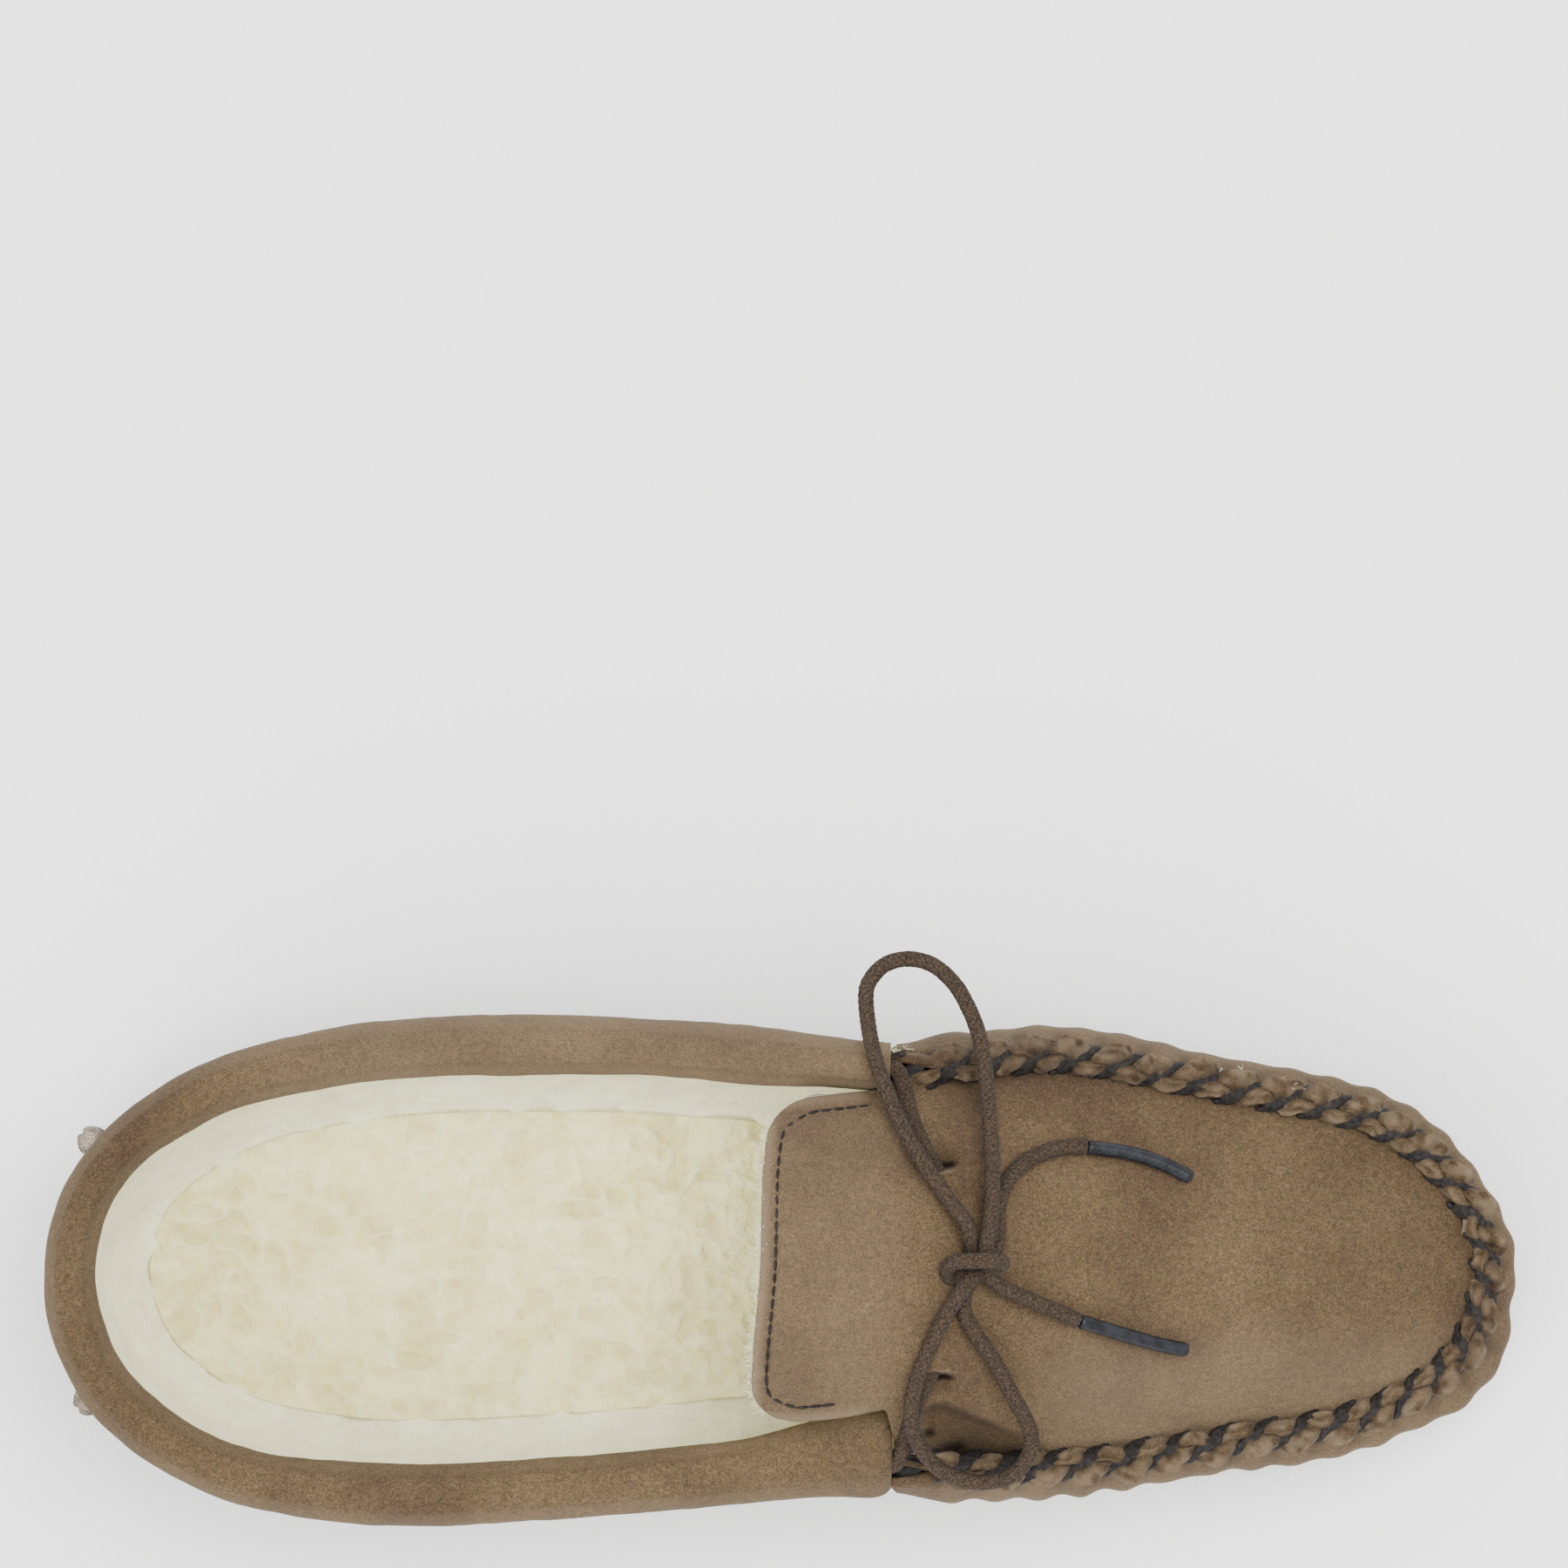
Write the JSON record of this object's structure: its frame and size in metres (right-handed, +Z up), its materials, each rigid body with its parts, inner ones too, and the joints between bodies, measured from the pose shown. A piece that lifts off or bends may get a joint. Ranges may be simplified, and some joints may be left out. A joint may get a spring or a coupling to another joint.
{
  "type": "moccasin slipper",
  "caption": "Fleece-lined suede moccasin for the left foot, with a whipstitched apron, a lace that runs in the collar and ties in a bow, and a flat rubber sole.",
  "frame": {"origin": "on the ground, under the middle of the shoe's length and width", "axes": "+X to the toe, +Y to the lateral side, +Z up"},
  "size_m": [0.2872, 0.1116, 0.0799],
  "materials": {
    "suede": "napped suede",
    "fleece": "cream wool pile",
    "foam": "insole foam",
    "outsole": "matt moulded rubber",
    "thread": "waxed thread",
    "lace": "round braided cord",
    "aglet": "heat-shrunk sleeve"
  },
  "bodies": {
    "shoe": {"rubber_outsole": "outsole", "suede_wrap": "suede", "heel_panel": "suede", "heel_seam_lateral": "suede", "heel_seam_medial": "suede", "insole_foam": "foam", "fleece_sock": "fleece", "fleece_wall_lining": "fleece", "collar": "suede", "apron": "suede", "fleece_apron_lining": "fleece", "whip_thread": "thread", "collar_tack_lateral": "thread", "collar_tack_medial": "thread", "lace_in_collar": "lace", "lace_lead_lateral": "lace", "lace_lead_medial": "lace", "lace_loop_lateral": "lace", "lace_loop_medial": "lace", "lace_tail_lateral": "lace", "lace_tail_medial": "lace", "bow_knot": "lace", "aglet_lateral": "aglet", "aglet_medial": "aglet"},
    "tongue_flap": {"tongue": "suede", "fleece_tongue_lining": "fleece", "tongue_hem_stitch": "thread"}
  },
  "joints": [
    {"name": "tongue_lift", "type": "hinge", "parent": "shoe", "child": "tongue_flap", "pos_m": [0.0217, 0, 0.0736], "axis": [0, 1, 0], "range_deg": [0, 40], "stiffness_Nm_per_rad": 0.03}
  ]
}
